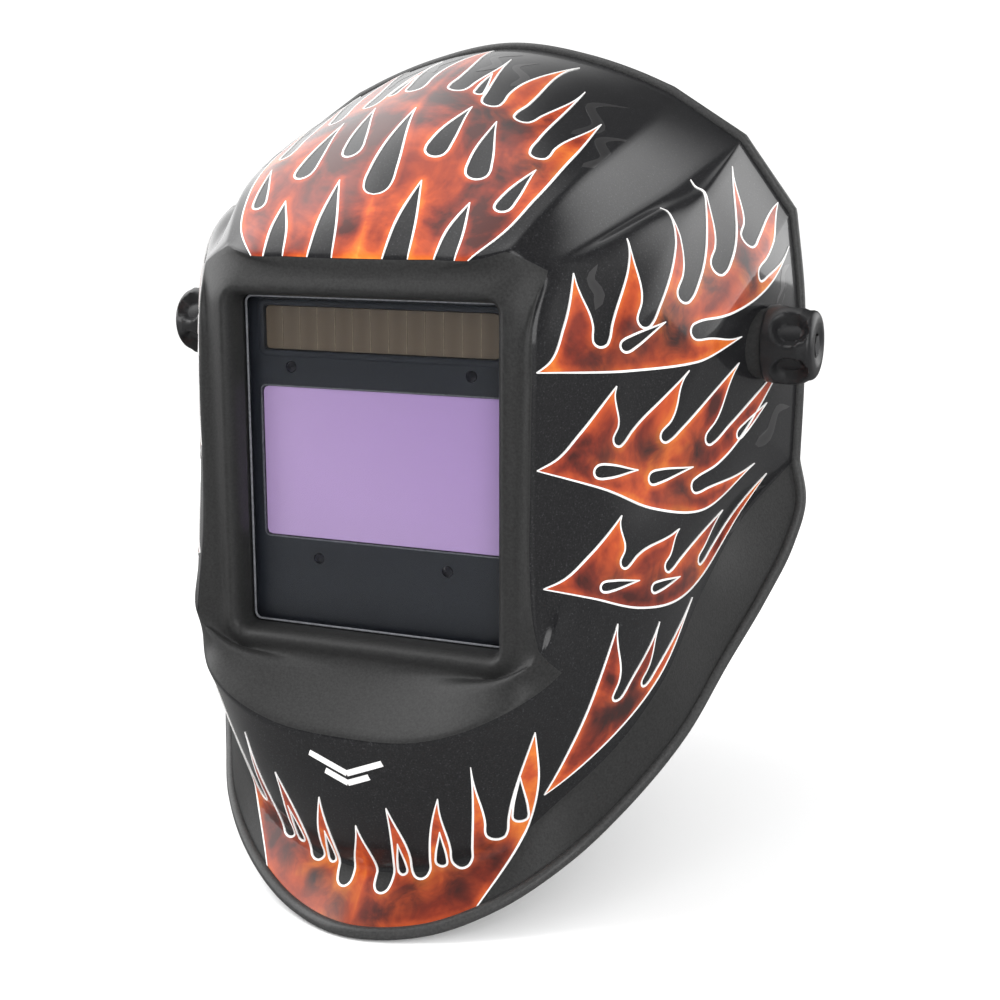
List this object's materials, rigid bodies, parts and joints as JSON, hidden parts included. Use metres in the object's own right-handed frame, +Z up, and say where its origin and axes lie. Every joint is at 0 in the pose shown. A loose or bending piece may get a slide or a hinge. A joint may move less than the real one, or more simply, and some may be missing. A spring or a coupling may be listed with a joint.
{
  "type": "welding helmet",
  "caption": "Flip-up welding helmet: faceted black shell with flame decoration, purple auto-darkening cassette, side tension knobs and ratchet headgear.",
  "frame": {"origin": "middle of the visor's pivot axis, the line through the two side bolts, level with the wearer's temples", "axes": "+X to the wearer's left, +Y to the back of the head, +Z up"},
  "size_m": [0.2844, 0.2969, 0.3312],
  "materials": {
    "shell": "moulded black shell, fine metallic grain under clear coat",
    "flame_paint": "printed flame decoration under clear coat",
    "pinstripe": "white pinstripe and plain mark under clear coat",
    "satin_trim": "textured satin black bezel, band and flange",
    "clear_lens": "clear polycarbonate",
    "filter": "purple interference filter",
    "solar": "brown solar cells under glass",
    "case": "dark slate moulding",
    "sensor": "polished dark sensor dome",
    "gasket": "soft black rubber",
    "board": "green circuit board",
    "display": "grey-green display glass",
    "control": "grey button plastic",
    "knob": "satin black knob",
    "steel": "zinc-plated steel",
    "band": "flexible black nylon",
    "pad_fabric": "black knitted pad cover"
  },
  "bodies": {
    "headgear": {"headband_front": "band", "rear_band_left": "band", "rear_band_right": "band", "crown_strap_left": "band", "crown_strap_right": "band", "crown_strap_rear": "band", "sweatband": "pad_fabric", "rear_pad": "pad_fabric", "ratchet_cover": "band", "ratchet_housing": "band", "slide_plate_left": "band", "slide_plate_right": "band", "plate_mount_left": "band", "plate_mount_right": "band"},
    "ratchet": {"ratchet_knob": "knob", "pinion": "steel"},
    "arms": {"pivot_arm_left": "band", "pivot_arm_right": "band", "friction_washer_left": "gasket", "friction_washer_right": "gasket"},
    "visor": {"shell": "shell", "lens_holder": "satin_trim", "lens_retainer": "case", "front_cover_lens": "clear_lens", "lens_gasket": "gasket", "adf_case_front": "case", "adf_case_back": "case", "filter_glass": "filter", "solar_panel": "solar", "arc_sensor_1": "sensor", "arc_sensor_2": "sensor", "arc_sensor_3": "sensor", "arc_sensor_4": "sensor", "circuit_board": "board", "lcd_display": "display", "coin_cell_left": "steel", "coin_cell_right": "steel", "inside_cover_lens": "clear_lens", "pivot_bolt_left": "steel", "pivot_bolt_right": "steel", "outer_washer_left": "gasket", "outer_washer_right": "gasket"},
    "knob_left": {"tension_knob_left": "knob", "knob_nut_left": "steel"},
    "knob_right": {"tension_knob_right": "knob", "knob_nut_right": "steel"},
    "button_1": {"control_button_1": "control"},
    "button_2": {"control_button_2": "control"},
    "button_3": {"control_button_3": "control"},
    "button_4": {"control_button_4": "control"},
    "cap_left": {"battery_cap_left": "control"},
    "cap_right": {"battery_cap_right": "control"},
    "latch_upper": {"retainer_latch_upper": "case"},
    "latch_lower": {"retainer_latch_lower": "case"}
  },
  "joints": [
    {"name": "ratchet_turn", "type": "hinge", "parent": "headgear", "child": "ratchet", "pos_m": [0, 0.1578, -0.0206], "axis": [0, 0.9617, -0.274], "continuous": true},
    {"name": "fore_aft", "type": "slide", "parent": "headgear", "child": "arms", "axis": [0, 0.9617, -0.274], "range_m": [-0.008, 0.008]},
    {"name": "visor_lift", "type": "hinge", "parent": "arms", "child": "visor", "pos_m": [0, 0, 0], "axis": [-1, 0, 0], "range_deg": [0, 50]},
    {"name": "tension_left", "type": "hinge", "parent": "visor", "child": "knob_left", "pos_m": [0.13, 0, 0], "axis": [1, 0, 0], "range_deg": [0, 180]},
    {"name": "tension_right", "type": "hinge", "parent": "visor", "child": "knob_right", "pos_m": [-0.13, 0, 0], "axis": [-1, 0, 0], "range_deg": [0, 180]},
    {"name": "press_1", "type": "slide", "parent": "visor", "child": "button_1", "axis": [0, -1, 0], "range_m": [0, 0.0008], "stiffness_N_per_m": 600},
    {"name": "press_2", "type": "slide", "parent": "visor", "child": "button_2", "axis": [0, -1, 0], "range_m": [0, 0.0008], "stiffness_N_per_m": 600},
    {"name": "press_3", "type": "slide", "parent": "visor", "child": "button_3", "axis": [0, -1, 0], "range_m": [0, 0.0008], "stiffness_N_per_m": 600},
    {"name": "press_4", "type": "slide", "parent": "visor", "child": "button_4", "axis": [0, -1, 0], "range_m": [0, 0.0008], "stiffness_N_per_m": 600},
    {"name": "cap_turn_left", "type": "hinge", "parent": "visor", "child": "cap_left", "pos_m": [0.034, -0.078, 0.007], "axis": [0, 1, 0], "range_deg": [0, 90]},
    {"name": "cap_turn_right", "type": "hinge", "parent": "visor", "child": "cap_right", "pos_m": [-0.034, -0.078, 0.007], "axis": [0, 1, 0], "range_deg": [0, 90]},
    {"name": "latch_upper_flex", "type": "slide", "parent": "visor", "child": "latch_upper", "axis": [0, 0, 1], "range_m": [0, 0.0025], "stiffness_N_per_m": 900},
    {"name": "latch_lower_flex", "type": "slide", "parent": "visor", "child": "latch_lower", "axis": [0, 0, -1], "range_m": [0, 0.0025], "stiffness_N_per_m": 900}
  ]
}
